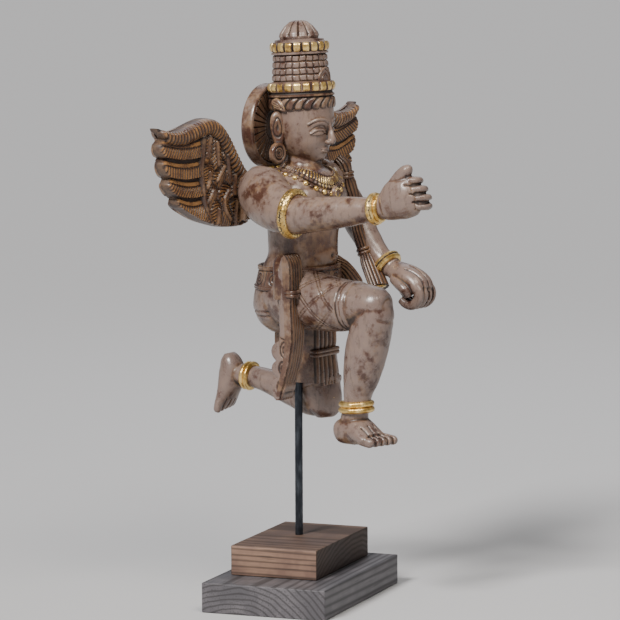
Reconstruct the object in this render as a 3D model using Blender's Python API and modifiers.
"""A carved wooden garuda, flying, on an iron rod above a stepped block base.

Metres, +Z up. The origin is the middle of the base's underside, and the base's long side runs along X.
The figure looks along -Y, turned a little about its rod, and its own left side is at +X.
"""

import math

import bmesh
import bpy
from mathutils import Euler, Matrix, Vector

# Base
LOWER_WIDTH = 0.211
LOWER_DEPTH = 0.131
LOWER_THICKNESS = 0.030
UPPER_WIDTH = 0.148
UPPER_DEPTH = 0.092
UPPER_THICKNESS = 0.030
UPPER_SHIFT_X = 0.015
UPPER_SHIFT_Y = 0.007
BLOCK_EDGE = 0.0012

# Rod
ROD_RADIUS = 0.0040
ROD_SHOWN = 0.160
ROD_IN_BASE = 0.022
ROD_IN_FIGURE = 0.045
ROD_FROM_MIDDLE_X = 0.007
ROD_FROM_MIDDLE_Y = 0.004
FIT_GAP = 0.0003

# Figure, whose pose and carving are drawn in shares of its height from sole to crown
FIGURE_HEIGHT = 0.416
SHARES_IN_HEIGHT = 416
SHARE = FIGURE_HEIGHT / SHARES_IN_HEIGHT
FIGURE_TURN = math.radians(-11)
CROWN_LEAN = math.radians(3)
BORE_SIDES = 20
FIGURE_FACES_KEPT = 0.37

# Places in the figure's drawing, in shares
CROWN_PLACE = (0, -6, 273)
CROWN_TILES = 22
HALO_PLACE = (0, 27, 255)
HALO_SLOTS = 28
BACK_FACE = 31
WING_FACE = 42

# Wings, drawn in the figure's shares too, but with their own thickness
WING_THICKNESS = 0.013
WING_ROOT_THICKNESS = 0.022
LEFT_TIP_LIFT = 7

WOOD = (0.130, 0.062, 0.038)
DARK_WOOD = (0.050, 0.028, 0.020)
IRON = (0.030, 0.034, 0.040)


def clear_scene():
    for obj in list(bpy.data.objects):
        bpy.data.objects.remove(obj)


def new_collection(name):
    collection = bpy.data.collections.new(name)
    bpy.context.scene.collection.children.link(collection)
    return collection


def finish(name, colour, roughness, metallic):
    material = bpy.data.materials.new(name)
    material.use_nodes = True
    shader = material.node_tree.nodes["Principled BSDF"]
    shader.inputs["Base Color"].default_value = (*colour, 1)
    shader.inputs["Roughness"].default_value = roughness
    shader.inputs["Metallic"].default_value = metallic
    return material


def object_from(bm, name, collection):
    """The bmesh as an object of the collection, in triangles that face outwards."""
    bm.normal_update()
    bmesh.ops.triangulate(bm, faces=bm.faces[:])
    bmesh.ops.recalc_face_normals(bm, faces=bm.faces[:])
    mesh = bpy.data.meshes.new(name)
    bm.to_mesh(mesh)
    bm.free()
    obj = bpy.data.objects.new(name, mesh)
    collection.objects.link(obj)
    return obj


def loft(name, collection, rings):
    """A closed skin over rings of points, each ring with as many points as the next."""
    bm = bmesh.new()
    rows = [[bm.verts.new(point) for point in ring] for ring in rings]
    count = len(rows[0])
    for low, high in zip(rows, rows[1:]):
        for i in range(count):
            j = (i + 1) % count
            bm.faces.new((low[i], low[j], high[j], high[i]))
    bm.faces.new(rows[0][::-1])
    bm.faces.new(rows[-1])
    return object_from(bm, name, collection)


def oval(centre, across, deep, half_across, half_deep, sides):
    """A ring of points round a centre, in the plane of the two directions."""
    turns = [2 * math.pi * (i + 0.5) / sides for i in range(sides)]
    return [centre + across * (half_across * math.cos(t)) + deep * (half_deep * math.sin(t)) for t in turns]


def limb(name, collection, stations, across=(1, 0, 0), sides=12):
    """A rounded bar through stations of (x, y, z, half width along across, other half width), in shares."""
    points = [Vector(station[:3]) * SHARE for station in stations]
    last = len(points) - 1
    rings = []
    for i, station in enumerate(stations):
        along = (points[min(i + 1, last)] - points[max(i - 1, 0)]).normalized()
        side = Vector(across)
        side = (side - along * side.dot(along)).normalized()
        rings.append(oval(points[i], side, along.cross(side), station[3] * SHARE, station[4] * SHARE, sides))
    return loft(name, collection, rings)


def slab(name, collection, outline, low, high, axis):
    """A flat outline given thickness from low to high along an axis: 0 is X, 1 is Y and 2 is Z. In shares."""
    rings = []
    for level in (low, high):
        ring = []
        for pair in outline:
            place = list(pair)
            place.insert(axis, level)
            ring.append(Vector(place) * SHARE)
        rings.append(ring)
    return loft(name, collection, rings)


def box(name, collection, low, high):
    bm = bmesh.new()
    bmesh.ops.create_cube(bm, size=1)
    low = Vector(low)
    high = Vector(high)
    bm.transform(Matrix.LocRotScale((low + high) / 2, None, high - low))
    return object_from(bm, name, collection)


def ball(name, collection, centre, radii, sides=10, rows=6, turn=(0, 0, 0)):
    bm = bmesh.new()
    bmesh.ops.create_uvsphere(bm, u_segments=sides, v_segments=rows, radius=SHARE)
    turned_by = Euler([math.radians(angle) for angle in turn])
    bm.transform(Matrix.LocRotScale(Vector(centre) * SHARE, turned_by, Vector(radii)))
    return object_from(bm, name, collection)


def turned(name, collection, profile, sides, lobes=0, lobe_depth=0):
    """A turned solid from (radius, z) pairs in shares, upwards, with lobes round its edge where asked."""
    rings = []
    for radius, z in profile:
        ring = []
        for i in range(sides):
            turn = 2 * math.pi * i / sides
            reach = radius * (1 - lobe_depth * (0.5 - 0.5 * math.cos(lobes * turn)))
            ring.append(Vector((reach * math.cos(turn), reach * math.sin(turn), z)) * SHARE)
        rings.append(ring)
    return loft(name, collection, rings)


def beaded(name, collection, radius, low, high, beads, notch, slant=0):
    """A ring of square beads, with a notch between each two. A slant turns the top against the bottom."""
    rings = []
    for share in (0, 0.2, 0.8, 1):
        ring = []
        for bead in range(beads):
            for part, depth in ((0, notch), (0.18, 0), (0.82, 0)):
                turn = 2 * math.pi * (bead + part + slant * share) / beads
                reach = radius - max(depth, notch / 2 if share in (0, 1) else 0)
                z = low + (high - low) * share
                ring.append(Vector((reach * math.cos(turn), reach * math.sin(turn), z)) * SHARE)
        rings.append(ring)
    return loft(name, collection, rings)


def bangle(name, collection, centre, along, radius, thick, squash=1, sides=16):
    """A ring round a limb: the limb's middle and direction, the radius to the ring's middle, half its thickness."""
    side = Vector((1, 0, 0))
    along = Vector(along).normalized()
    side = (side - along * side.dot(along)).normalized()
    deep = along.cross(side)
    bm = bmesh.new()
    rows = []
    for i in range(sides):
        turn = 2 * math.pi * i / sides
        out = side * math.cos(turn) + deep * (squash * math.sin(turn))
        row = []
        for j in range(6):
            tilt = 2 * math.pi * j / 6
            reach = out * (radius + thick * math.cos(tilt)) + along * (thick * 1.25 * math.sin(tilt))
            row.append(bm.verts.new((Vector(centre) + reach) * SHARE))
        rows.append(row)
    for i, row in enumerate(rows):
        after = rows[(i + 1) % sides]
        for j in range(6):
            k = (j + 1) % 6
            bm.faces.new((row[j], row[k], after[k], after[j]))
    return object_from(bm, name, collection)


def boolean(body, name, operation, forms):
    """One Boolean of the body with every object of a collection."""
    modifier = body.modifiers.new(name, "BOOLEAN")
    modifier.operation = operation
    modifier.operand_type = "COLLECTION"
    modifier.collection = forms
    modifier.solver = "MANIFOLD"


def thin_out(body, share):
    """Leaves that share of the small faces that the Booleans made, with the form as it is."""
    modifier = body.modifiers.new("thin out", "DECIMATE")
    modifier.decimate_type = "COLLAPSE"
    modifier.ratio = share


# Body
def trunk(parts):
    stations = [
        (0, 9, 48, 24, 20),
        (0, 8, 56, 37, 31),
        (0, 6, 68, 45, 38),
        (0, 4, 84, 46, 39),
        (0, 1, 102, 44, 36),
        (0, -4, 118, 40, 33),
        (0, -6, 130, 38, 34),
        (0, -6, 146, 39, 34),
        (0, -7, 162, 43, 34),
        (0, -9, 180, 49, 34),
        (0, -8, 196, 50, 32),
        (0, -8, 208, 38, 27),
        (0, -8, 217, 19, 18),
        (0, -9, 234, 15.5, 16),
    ]
    return limb("figure", parts, stations, sides=18)


def belly_and_belt(forms):
    ball("belly", forms, (0, -17, 128), (29, 25, 19), 14, 8)
    limb("belt_low", forms, [(0, 2, 93, 48, 40), (0, 2, 98, 48.5, 40.5)], sides=18)
    limb("belt", forms, [(0, 1, 97, 46.5, 38.5), (0, -2, 113, 43.5, 36.5)], sides=18)
    limb("belt_high", forms, [(0, -2, 112.5, 45, 38), (0, -3, 117, 43.5, 36.5)], sides=18)
    slab("back_pad", forms, [(-32, 161), (32, 161), (28, 211), (-28, 211)], 10, BACK_FACE, 1)


def near_arm(forms):
    """The right arm reaches straight forward from a heavy shoulder."""
    stations = [
        (-44, 6, 200, 18, 22),
        (-56, 6, 196, 24, 26.5),
        (-69, -9, 187.5, 24.5, 27),
        (-80, -28, 180.5, 22.5, 24),
        (-88, -44, 177, 20.5, 21.5),
        (-91.5, -60, 176, 18.5, 19),
        (-92.5, -76, 177.5, 16.5, 17),
        (-92.5, -96, 179.5, 15.5, 16),
        (-92, -118, 182, 14, 14.5),
        (-92, -140, 185, 12, 12),
        (-92, -156, 187, 11, 11.5),
    ]
    limb("near_arm", forms, stations, sides=14)
    bangle("near_armband", forms, (-90, -49, 176.8), (-0.05, -1, -0.08), 20.6, 3, 1.04, 20)
    bangle("near_bangle", forms, (-92, -148, 186), (0, -1, 0.1), 12.6, 3.2)


def near_hand(forms):
    palm = [
        (-92, -152, 187, 10, 11),
        (-92, -161, 190, 11, 15.5),
        (-91.5, -170, 195, 12.5, 20),
        (-90, -178, 198.5, 13, 21),
        (-88.5, -185, 200, 12, 20),
        (-87, -188, 201, 9, 17),
    ]
    limb("near_palm", forms, palm, sides=12)
    thumb = [
        (-90, -164, 202, 8, 9),
        (-90, -170, 211, 8, 8.5),
        (-90.5, -176, 219, 7.5, 7.5),
        (-91, -182, 225.5, 6.2, 5.6),
        (-91, -184.5, 229, 3, 2.6),
    ]
    limb("near_thumb", forms, thumb, sides=8)
    for i, (reach, height) in enumerate(((-188, 214.5), (-193.5, 206.5), (-197.5, 198.5), (-198, 190.5))):
        finger = [
            (-92, -178, height, 4.6, 5.5),
            (-90, reach + 4.5, height, 4.7, 6),
            (-86, reach, height, 4.6, 5.6),
            (-79, reach + 1, height - 0.6, 4.4, 5.2),
            (-74, reach + 8, height - 1, 4.2, 4.8),
            (-77, -176, height - 1, 3.6, 4.2),
        ]
        limb(f"near_finger_{i}", forms, finger, (0, 0, 1), 6)


def far_arm(forms):
    """The left arm hangs forward and down from the shoulder to a half closed hand."""
    stations = [
        (42, 2, 198, 18, 22),
        (54, 4, 198, 21, 22.5),
        (64, -2, 189.5, 19.5, 20),
        (72, -11, 177, 17.5, 17.5),
        (75.5, -19, 164, 16, 16),
        (74.5, -28.5, 150, 15, 15),
        (73, -39.5, 135, 13.5, 13.5),
        (71.5, -52, 121, 12, 12),
        (70.3, -64, 112.5, 11, 11),
        (70, -73, 108, 10.5, 10.5),
    ]
    limb("far_arm", forms, stations, sides=12)
    ball("far_breast", forms, (49, -13, 200), (15, 13, 18))
    bangle("far_armband", forms, (69, -7.5, 182.5), (0.5, -0.5, -0.7), 18.6, 2.8)
    bangle("far_bangle", forms, (70.4, -62.5, 113.5), (-0.12, -0.75, -0.6), 12.2, 3.2)


def far_hand(forms):
    palm = [
        (70, -69, 109.5, 9.5, 9.5),
        (69, -79, 105, 13, 11.5),
        (67, -92, 101.5, 16.5, 12),
        (66, -103, 96, 17, 11),
        (65, -108.5, 89, 16.5, 8),
    ]
    limb("far_palm", forms, palm, sides=10)
    for i in range(4):
        x = 53.5 + 8 * i
        finger = [
            (x, -101, 96, 4.2, 6),
            (x, -109, 89, 4.3, 6),
            (x, -109, 81, 4.2, 5.4),
            (x, -102, 75, 4, 5),
            (x, -94, 76, 3.8, 4.6),
            (x, -88, 80, 3, 3.6),
        ]
        limb(f"far_finger_{i}", forms, finger, sides=6)
    thumb = [(60, -78, 100, 6, 6), (52.5, -87, 96, 5.6, 5.6), (50, -96, 90, 5.4, 5.2), (51, -99, 83, 3.4, 3.4)]
    limb("far_thumb", forms, thumb, sides=8)


def near_leg(forms):
    """The right thigh is level, and its shin stands under the knee."""
    thigh = [
        (-22, 6, 84, 24, 30),
        (-30, -20, 85, 28, 31),
        (-35, -45, 84.5, 27, 29),
        (-39, -70, 83, 26, 27),
        (-43, -92, 84, 24, 24),
        (-46, -110, 86, 21.5, 20.5),
        (-48, -124, 86, 18.5, 18),
        (-48, -133, 85, 12, 13),
    ]
    limb("near_thigh", forms, thigh, sides=16)
    limb("near_hem", forms, [(-44, -95, 84, 25, 24.6), (-45, -99, 84.4, 24.6, 24.2)], sides=16)
    shin = [
        (-48, -118, 92, 14, 14),
        (-48, -119, 80, 19, 19.5),
        (-48, -116, 66, 20, 20.5),
        (-48, -112, 52, 20.5, 21),
        (-48, -108.5, 36, 20.5, 21),
        (-48, -104, 16, 18, 18.5),
        (-48, -100, 0, 14.5, 15),
        (-48, -98, -14, 12.5, 13),
        (-48, -96, -26, 12.5, 14),
        (-48, -95, -38, 13, 17),
    ]
    limb("near_shin", forms, shin, sides=14)
    bangle("near_anklet", forms, (-48, -98, -15.5), (0, 0.05, 1), 14.2, 3.6, 1.04)
    foot = [
        (-47, -75.5, -43, 7, 7),
        (-47, -79, -42, 12.5, 11.5),
        (-47.5, -88, -40, 15, 14),
        (-48, -98, -38.5, 16, 15.5),
        (-49.5, -107, -41, 18, 13),
        (-51, -115, -44.5, 19.5, 9.6),
        (-52, -121, -46.5, 19.5, 7),
    ]
    limb("near_foot", forms, foot, sides=12)
    for i in range(5):
        x = -66.5 + 7.4 * i
        reach = -124 - 2.2 * i
        wide = 3.9 if i < 4 else 5
        toe = [
            (x, -115, -46, wide, 5),
            (x, reach + 2, -47.6, wide, 5),
            (x, reach - 2, -48.6, wide * 0.9, 4.4),
            (x, reach - 4.5, -49.6, wide * 0.5, 2.4),
        ]
        limb(f"near_toe_{i}", forms, toe, sides=8)


def far_leg(forms):
    """The left thigh hangs straight down, and its shin is thrown back level."""
    thigh = [
        (22, 12, 82, 24, 26),
        (27, 8, 60, 27, 28),
        (27, 3, 35, 26, 25.5),
        (26, -3, 10, 24.5, 24),
        (25, -9, -10, 22.5, 22),
        (24.5, -14, -22, 20, 20),
        (24, -17, -33, 16, 16.5),
        (24, -18, -41, 9, 9),
    ]
    limb("far_thigh", forms, thigh, sides=14)
    limb("far_hem", forms, [(25.5, -8, -6, 24.4, 24), (25.2, -9.5, -10, 24, 23.6)], sides=14)
    shin = [
        (24, -16, -26, 15, 14),
        (24, -2, -23, 17, 18),
        (24, 22, -16, 16.5, 16.5),
        (24, 42, -11, 14, 13.8),
        (24, 61, -7, 12, 11.6),
        (24, 78, -4.5, 11, 11),
        (24, 92, -4, 11, 11),
    ]
    limb("far_shin", forms, shin, sides=12)
    bangle("far_anklet", forms, (24, 74.5, -5), (0, 1, 0.12), 12.4, 3.2)
    foot = [
        (24, 99.5, 17, 6, 5),
        (24, 98, 11, 10.5, 10),
        (24, 96, 0, 13, 13.5),
        (24, 97.5, -12, 14.5, 13),
        (24, 101, -24, 16.5, 9.5),
        (24, 104.5, -34, 17.5, 7),
        (24, 107, -40, 16.5, 5),
        (24, 108.5, -44, 12, 2.6),
    ]
    limb("far_foot", forms, foot, sides=12)


# Head
def head(forms):
    stations = [
        (0, -17, 221, 10, 13),
        (0, -14, 227, 17.5, 19.5),
        (0, -11.5, 236, 24, 24.5),
        (0, -9, 248, 28, 29),
        (0, -8, 262, 29.5, 31),
        (0, -7, 280, 29.5, 31),
    ]
    limb("head", forms, stations, sides=16)
    nose = [(0, -36.5, 258, 2.2, 3), (0, -39, 248, 3, 3.4), (0, -40.5, 241.5, 4.8, 4), (0, -37, 238.5, 3.6, 3)]
    limb("nose", forms, nose, sides=6)
    ball("chin", forms, (0, -28.5, 224.5), (7.5, 6, 4.5), 8, 6)
    ball("lips", forms, (0, -34.2, 232), (7, 3, 2.8), 8, 6)
    for side in (-1, 1):
        ball("eye", forms, (side * 12, -32.8, 251), (7.4, 4, 3.4), 8, 6, (0, 0, side * 22))
        brow = [
            (side * 4, -38, 257, 1.5, 1.6),
            (side * 12, -35.6, 260.5, 1.5, 1.8),
            (side * 21, -29.5, 257.5, 1.2, 1.4),
        ]
        limb("brow", forms, brow, (0, 0, 1), 6)
        ball("ear", forms, (side * 29.5, 1, 255), (4.5, 8.5, 16), 10, 6)
        ball("ear_stud", forms, (side * 32, 2.5, 231), (9, 8.6, 9.5), 10, 6)
        ball("ear_leaf", forms, (side * 30, 5, 277), (5, 8, 6), 8, 6)


def crown(forms):
    """The turned crown: hair band, fillets, two beaded rings, a drum of four rows and a lobed cap."""
    profile = [
        (31, 0),
        (31, 12),
        (33, 14),
        (31.4, 16),
        (31.4, 27),
        (29, 28),
        (29, 34.4),
        (27.8, 35),
        (28.4, 41),
        (27.2, 41.6),
        (27.8, 47.4),
        (26.6, 48),
        (27, 54),
        (28.6, 56),
        (26.4, 57.5),
        (26.4, 67),
        (22, 68.5),
        (15, 71),
    ]
    made = [turned("crown", forms, profile, CROWN_TILES)]
    made.append(beaded("hair_band", forms, 33.6, 0.5, 11.5, CROWN_TILES, 1.6, 0.9))
    made.append(beaded("crown_beads_low", forms, 34.2, 18.4, 26.6, CROWN_TILES, 1.8))
    made.append(beaded("crown_beads_high", forms, 30, 58, 67, 20, 1.8))
    cap = [(18.5, 70), (20.2, 73), (19.4, 77), (14.5, 84), (9, 88), (5, 88.6)]
    made.append(turned("crown_cap", forms, cap, 24, 12, 0.12))
    arch = [(-6.5, 28.5), (-6.5, 37), (-4, 43), (0, 47), (4, 43), (6.5, 37), (6.5, 28.5)]
    made.append(slab("crown_arch", forms, arch, -31, -24, 1))
    place = Matrix.Translation(Vector(CROWN_PLACE) * SHARE) @ Matrix.Rotation(-CROWN_LEAN, 4, "X")
    for obj in made:
        obj.data.transform(place)


def halo(forms, cuts):
    """The disc behind the head, with radial slots in its face."""
    middle = Matrix.Translation(Vector(HALO_PLACE) * SHARE)
    disc = turned("halo", forms, [(40, 0), (42.5, 2), (42.5, 12), (40.5, 14)], 36)
    disc.data.transform(middle @ Matrix.Rotation(math.radians(-90), 4, "X"))
    for k in range(HALO_SLOTS):
        slot = box("halo_slot", cuts, Vector((26, -0.9, -1.5)) * SHARE, Vector((37, 0.9, 1.3)) * SHARE)
        turn = Matrix.Rotation(2 * math.pi * (k + 0.5) / HALO_SLOTS, 4, "Y")
        slot.data.transform(middle @ turn @ Matrix.Rotation(math.radians(-90), 4, "X"))


# Jewels and cloth
def necklaces(forms):
    limb("collar", forms, [(0, -6, 217, 20, 18), (0, -13.5, 203, 34, 28), (0, -15, 199.6, 34.5, 28)], sides=20)
    bangle("bead_string", forms, (0, -10, 203), (0, -0.42, 1), 37, 3, 0.98, 28)
    ball("pendant", forms, (0, -43, 189), (6, 3.4, 6), 8, 6)


def fluted(name, collection, levels, flutes, depth):
    """Hanging cloth with upright flutes in its front: levels of (z, low x, high x, front y, back y)."""
    rings = []
    for z, low, high, front, back in levels:
        ring = []
        for flute in range(flutes):
            for share, sunk in ((0.03, 1), (0.32, 0), (0.7, 0.1)):
                x = low + (high - low) * (flute + share) / flutes
                ring.append((x, front + depth * sunk))
        ring += [(high, (front + back) / 2), (high, back), (low, back), (low, (front + back) / 2)]
        rings.append([Vector((x, y, z)) * SHARE for x, y in ring])
    return loft(name, collection, rings)


def pleats(forms):
    """The folded cloth between the thighs, which the rod goes up into."""
    levels = [
        (0, -19, 20, -34.5, 12.5),
        (8, -20, 20.5, -35, 14),
        (22, -20, 20, -33.5, 15),
        (38, -19.5, 20, -34.5, 16),
        (56, -19, 20, -34, 16),
    ]
    fluted("pleats", forms, levels, 6, 3.2)
    fluted("pleat_ends", forms, [(-4.5, -8, 20, -34, -22), (2, -9, 20.4, -34.8, -20)], 4, 3.2)
    slab("pleat_tie", forms, [(-37, 33), (-37.5, 26), (-28, 26), (-28, 33)], -21, 22, 0)


def near_sash(forms):
    """The knotted sash at the right hip: a looped top, a fluted front and three curls behind its foot."""
    levels = [
        (-12.5, -23, -17),
        (-10, -23.5, -13),
        (-3, -25.5, -11),
        (6, -28.5, -12),
        (10.5, -30, -16),
        (15, -31.2, -11.5),
        (23, -33.8, -12),
        (26.5, -34.6, -16.5),
        (31, -35.6, -11.5),
        (41, -37.4, -12),
        (46.5, -37.8, -17),
        (53, -38.2, -20),
        (90, -36.6, -19.5),
        (112, -36.2, -19),
        (126, -35, -19.5),
        (131.5, -32, -22),
        (133.5, -29, -24.5),
    ]
    fluted("near_sash", forms, [(z, -70, -48, front, back) for z, front, back in levels], 4, 2.4)
    slab("near_sash_tie", forms, [(-39.5, 98), (-39.5, 91), (-18.5, 91), (-18.5, 98)], -71.5, -46, 0)
    hip_fold = [(-24, 0, 124, 8, 4), (-50, -12, 121, 8, 9), (-60, -20, 108, 9, 10), (-61, -20, 88, 9, 9)]
    limb("near_hip_fold", forms, hip_fold, (0, 1, 0), 8)


def far_sash(forms):
    """The long scarf that hangs from the left shoulder inside the arm."""
    stations = [
        (48, -17, 221, 6, 5),
        (52, -23, 213, 8.5, 6.5),
        (54, -25, 204, 6.4, 5),
        (57, -25, 193, 9.5, 8),
        (60, -30, 172, 9, 7),
        (62, -33, 150, 9, 6.5),
        (63, -38, 134, 9.5, 7),
        (62.5, -41, 126, 7.4, 6),
        (61, -47, 115, 11, 8),
        (58.5, -57, 98, 13, 8.5),
        (57, -62, 90, 13.5, 8.5),
    ]
    limb("far_sash", forms, stations, sides=10)
    bangle("far_sash_tie_high", forms, (54, -25, 204), (0.1, -0.1, -1), 6.6, 1.8, 0.8, 12)
    bangle("far_sash_tie_low", forms, (62.5, -41, 126), (-0.05, -0.4, -1), 8, 1.8, 0.8, 12)
    fan = [(34, -14, 122, 9, 7), (42, -24, 112, 12, 7), (47, -31, 98, 15, 7), (48, -33, 92, 15, 6)]
    limb("far_hip_fan", forms, fan, (0, 1, 0.3), 10)


def figure_body(parts, forms, cuts, bores):
    body = trunk(parts)
    belly_and_belt(forms)
    near_arm(forms)
    near_hand(forms)
    far_arm(forms)
    far_hand(forms)
    near_leg(forms)
    far_leg(forms)
    head(forms)
    crown(forms)
    halo(forms, cuts)
    necklaces(forms)
    pleats(forms)
    near_sash(forms)
    far_sash(forms)
    reach = ROD_RADIUS + FIT_GAP
    bm = bmesh.new()
    bmesh.ops.create_cone(
        bm, cap_ends=True, segments=BORE_SIDES, radius1=reach, radius2=reach, depth=2 * (ROD_IN_FIGURE + FIT_GAP)
    )
    object_from(bm, "rod_bore", bores)
    boolean(body, "union", "UNION", forms)
    boolean(body, "carving", "DIFFERENCE", cuts)
    thin_out(body, FIGURE_FACES_KEPT)
    boolean(body, "bore", "DIFFERENCE", bores)
    return body


# Wings
def wing(name, side, tip_lift, parts, forms):
    """One wing, drawn on its own side: ribbed arm, leaf coverts, a dividing strip and five primaries."""
    front = WING_FACE
    back = front + WING_THICKNESS / SHARE

    def placed(x, y, z):
        return Vector((side * x, y, z + tip_lift * max(0, (x - 140) / 45))) * SHARE

    outline = [
        (28, 208),
        (41, 216),
        (52, 228),
        (70, 251),
        (84, 264),
        (100, 268.5),
        (116, 267),
        (132, 263.5),
        (156, 258.5),
        (170, 259.5),
        (183, 263),
        (184, 256),
        (176, 251),
        (182, 246),
        (182, 239),
        (173, 233),
        (178, 228),
        (176, 220),
        (166, 213),
        (170, 207),
        (165, 199),
        (154, 193),
        (155, 187),
        (144, 180.5),
        (132, 174),
        (116, 167),
        (89, 160),
        (71, 157),
        (44, 156),
        (28, 158),
    ]
    plate = loft(name, parts, [[placed(x, y, z) for x, z in outline] for y in (front, back)])
    seat = BACK_FACE + FIT_GAP / SHARE
    root = seat + WING_ROOT_THICKNESS / SHARE
    slab("wing_root", forms, [(side * x, z) for x, z in ((6, 164), (49, 160), (49, 209), (6, 207))], seat, root, 1)
    arm = [(30, 203), (41, 210), (54, 224), (70, 243), (84, 256), (100, 260), (120, 257), (145, 253), (170, 255)]
    rings = []
    for i, (x, z) in enumerate(arm):
        before = Vector(arm[max(i - 1, 0)])
        after = Vector(arm[min(i + 1, len(arm) - 1)])
        along = (after - before).normalized()
        ring = []
        for k in range(8):
            turn = 2 * math.pi * (k + 0.5) / 8
            wide = 7.6 * math.cos(turn)
            ring.append(placed(x - along.y * wide, front + 2 - 7 * math.sin(turn), z + along.x * wide))
        rings.append(ring)
    loft("wing_arm", forms, rings)
    strip = [(110, 254), (114, 236), (114, 210), (110, 185), (103, 165)]
    limb("wing_strip", forms, [(side * x, front + 1, z, 3, 5) for x, z in strip], sides=6)
    tips = [(180, 242.5, 240), (175, 224.5, 222), (167, 204, 204), (151, 188, 187)]
    for k, (tip, tip_z, root_z) in enumerate(tips):
        rings = []
        for step in range(4):
            share = step / 3
            x = 112 + (tip - 112) * share
            z = root_z - 3 * math.sin(math.pi * share) + (tip_z - root_z) * share
            up = 8
            points = [(front + 0.6, z + up), (front - 4, z + up * 0.45), (front + 0.6, z - up), (front + 4, z)]
            rings.append([placed(x, y, height) for y, height in points])
        loft(f"primary_{k}", forms, rings)
    leaves = [
        (98, 242, -82, 24),
        (84, 238, -70, 24),
        (71, 226, -62, 22),
        (98, 217, -80, 26),
        (83, 212, -66, 26),
        (66, 205, -70, 24),
        (93, 191, -66, 26),
        (76, 186, -62, 26),
        (60, 181, -75, 22),
        (84, 168, -40, 18),
        (64, 166, -30, 16),
    ]
    for k, (x, z, lean, length) in enumerate(leaves):
        angle = math.radians(lean)
        along = Vector((math.cos(angle), 0, math.sin(angle)))
        wide = Vector((-along.z, 0, along.x))
        rings = []
        for share, half in ((-0.5, 1), (-0.1, 7), (0.5, 1)):
            middle = Vector((x, front, z)) + along * (length * share)
            edge = middle + Vector((0, 0.6, 0))
            ridge = middle - Vector((0, 3.6, 0))
            sunk = middle + Vector((0, 4, 0))
            rings.append([placed(*point) for point in (edge + wide * half, ridge, edge - wide * half, sunk)])
        loft(f"covert_{k}", forms, rings)
    boolean(plate, "union", "UNION", forms)
    return plate


# Stand
def block(name, parts, width, depth, thickness, middle):
    bm = bmesh.new()
    bmesh.ops.create_cube(bm, size=1)
    bm.transform(Matrix.Diagonal((width, depth, thickness, 1)))
    obj = object_from(bm, name, parts)
    obj.location = middle
    edge = obj.modifiers.new("worn edges", "BEVEL")
    edge.width = BLOCK_EDGE
    edge.segments = 1
    return obj


def upright(name, collection, radius, low, high, x, y):
    bm = bmesh.new()
    bmesh.ops.create_cone(bm, cap_ends=True, segments=BORE_SIDES, radius1=radius, radius2=radius, depth=high - low)
    obj = object_from(bm, name, collection)
    obj.location = (x, y, (low + high) / 2)
    return obj


def as_guides(*collections):
    for collection in collections:
        for obj in collection.objects:
            obj.hide_render = True
            obj.display_type = "WIRE"


def main():
    clear_scene()
    parts = new_collection("Garuda_statue")
    forms = new_collection("Figure_forms")
    cuts = new_collection("Figure_cuts")
    rod_x = UPPER_SHIFT_X + ROD_FROM_MIDDLE_X
    rod_y = UPPER_SHIFT_Y + ROD_FROM_MIDDLE_Y
    upper_low = LOWER_THICKNESS + FIT_GAP
    base_top = upper_low + UPPER_THICKNESS
    mouth = base_top + ROD_SHOWN

    stand = bpy.data.objects.new("figure_place", None)
    stand.location = (rod_x, rod_y, mouth)
    stand.rotation_euler = (0, 0, FIGURE_TURN)
    bpy.context.scene.collection.objects.link(stand)
    bores = new_collection("Figure_bores")
    body = figure_body(parts, forms, cuts, bores)
    right_forms = new_collection("Right_wing_forms")
    left_forms = new_collection("Left_wing_forms")
    right = wing("wing_right", -1, 0, parts, right_forms)
    left = wing("wing_left", 1, LEFT_TIP_LIFT, parts, left_forms)
    for collection in (forms, cuts, bores, right_forms, left_forms):
        for obj in collection.objects:
            obj.parent = stand
    for obj in (body, right, left):
        obj.parent = stand

    middle = (0, 0, LOWER_THICKNESS / 2)
    lower = block("base_lower", parts, LOWER_WIDTH, LOWER_DEPTH, LOWER_THICKNESS, middle)
    middle = (UPPER_SHIFT_X, UPPER_SHIFT_Y, upper_low + UPPER_THICKNESS / 2)
    upper = block("base_upper", parts, UPPER_WIDTH, UPPER_DEPTH, UPPER_THICKNESS, middle)
    foot = base_top - ROD_IN_BASE
    rod = upright("rod", parts, ROD_RADIUS, foot + FIT_GAP, mouth + ROD_IN_FIGURE, rod_x, rod_y)
    sockets = new_collection("Sockets")
    upright("socket", sockets, ROD_RADIUS + FIT_GAP, foot, base_top + ROD_IN_BASE, rod_x, rod_y)
    boolean(upper, "socket", "DIFFERENCE", sockets)
    as_guides(forms, cuts, bores, right_forms, left_forms, sockets)

    body.data.materials.append(finish("figure_wood", WOOD, 0.45, 0))
    right.data.materials.append(finish("right_wing_wood", WOOD, 0.5, 0))
    left.data.materials.append(finish("left_wing_wood", WOOD, 0.5, 0))
    rod.data.materials.append(finish("rod_iron", IRON, 0.4, 0.9))
    lower.data.materials.append(finish("lower_block_wood", DARK_WOOD, 0.55, 0))
    upper.data.materials.append(finish("upper_block_wood", DARK_WOOD, 0.5, 0))


if __name__ == "__main__":
    main()
